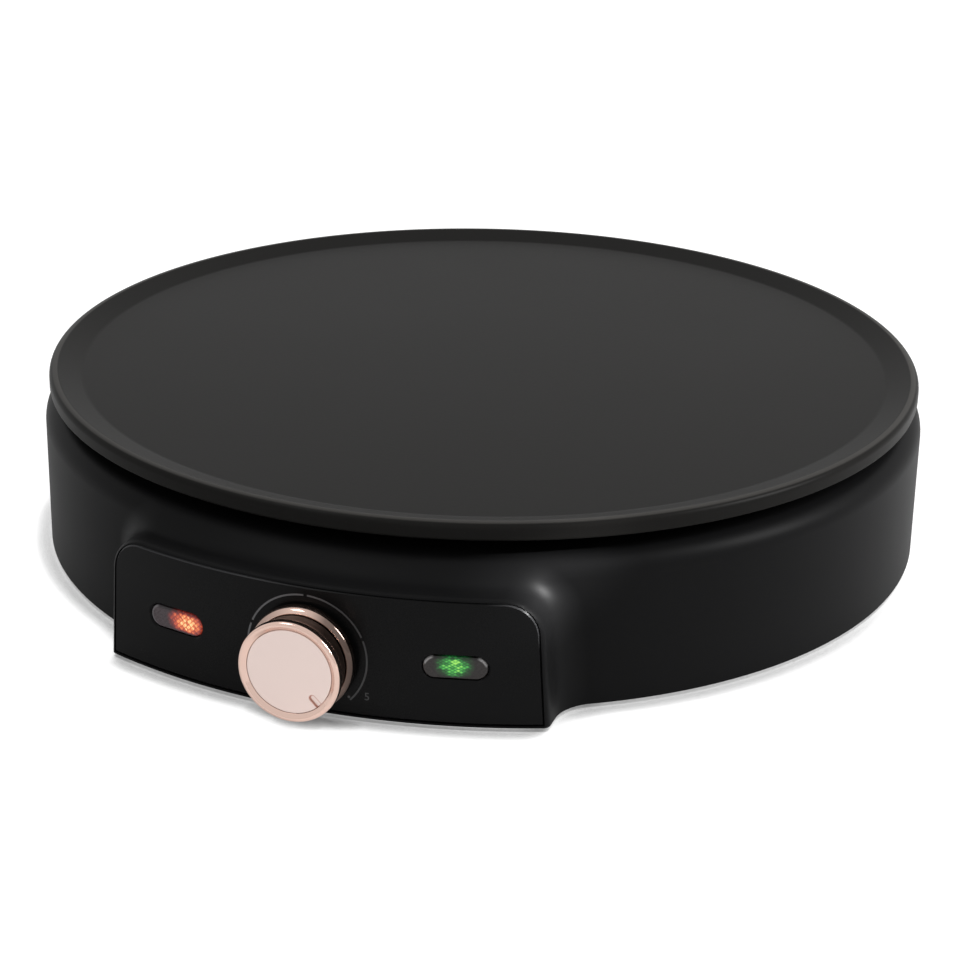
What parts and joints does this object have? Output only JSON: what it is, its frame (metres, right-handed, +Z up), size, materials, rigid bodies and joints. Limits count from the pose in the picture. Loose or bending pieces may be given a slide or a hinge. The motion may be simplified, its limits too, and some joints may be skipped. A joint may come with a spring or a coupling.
{
  "type": "electric crepe maker",
  "caption": "Round electric crepe maker: flat rimmed hot plate on a black drum with a front control housing, a rose gold turning knob and two stadium indicator lamps.",
  "frame": {"origin": "the drum's axis where it meets the table; the drum's lower edge ring is 1.2 mm above it", "axes": "+Z up, the control panel and the knob look along -Y, the cord inlet is at +Y"},
  "size_m": [0.3036, 0.3329, 0.061],
  "materials": {
    "plate_coating": "cast aluminium with a dark non-stick coating",
    "satin_black": "satin black moulded plastic",
    "panel_black": "fine satin black plastic with a pale printed dial",
    "rose_gold": "polished rose gold plating",
    "rose_satin": "satin rose gold",
    "lens_red": "prismatic red lamp lens",
    "lens_green": "prismatic green lamp lens",
    "lamp_white": "white moulded plastic",
    "bulb_glass": "small glass lamp",
    "ceramic": "white ceramic",
    "steel": "zinc-plated steel",
    "sheath": "heat-darkened steel sheath",
    "reflector_steel": "bright aluminised sheet",
    "brass": "nickel-plated brass",
    "copper": "copper capillary",
    "rubber_black": "matt black rubber",
    "gland_black": "black nylon",
    "block_white": "cream terminal block",
    "wire_brown": "brown insulation",
    "wire_blue": "blue insulation",
    "wire_earth": "green and yellow insulation",
    "wire_white": "white heat-proof insulation"
  },
  "bodies": {
    "base": {"cooking_plate": "plate_coating", "heating_element": "sheath", "terminal_beads": "ceramic", "terminal_tags": "brass", "element_straps": "steel", "strap_screws": "steel", "heat_reflector": "reflector_steel", "plate_screws": "steel", "plate_washers": "steel", "sensor_bulb": "copper", "capillary_tube": "copper", "sensor_clip": "steel", "sensor_clip_screw": "steel", "thermal_fuse": "steel", "fuse_clip": "steel", "fuse_clip_screw": "steel", "base_shell": "satin_black", "control_panel": "panel_black", "thermostat_screws": "steel", "thermostat_bracket": "steel", "thermostat_body": "ceramic", "red_lens": "lens_red", "green_lens": "lens_green", "red_lamp_housing": "lamp_white", "green_lamp_housing": "lamp_white", "red_lamp_bulb": "bulb_glass", "green_lamp_bulb": "bulb_glass", "lamp_screws": "steel", "lamp_wires": "wire_white", "bottom_cover": "satin_black", "cover_screws": "steel", "rubber_feet": "rubber_black", "cord_gland": "gland_black", "gland_nut": "gland_black", "terminal_block": "block_white", "terminal_block_screw": "steel", "earth_screw": "steel", "earth_lug": "brass", "wire_live": "wire_brown", "wire_heater": "wire_white", "wire_earth": "wire_earth", "wire_neutral": "wire_blue", "wire_fuse": "wire_white"},
    "knob": {"knob_body": "rose_gold", "knob_disc": "rose_satin", "knob_clip": "steel", "thermostat_shaft": "steel"}
  },
  "joints": [
    {"name": "knob_turn", "type": "hinge", "parent": "base", "child": "knob", "pos_m": [0, -0.1633, 0.02], "axis": [0, -1, 0], "range_deg": [0, 270]}
  ]
}
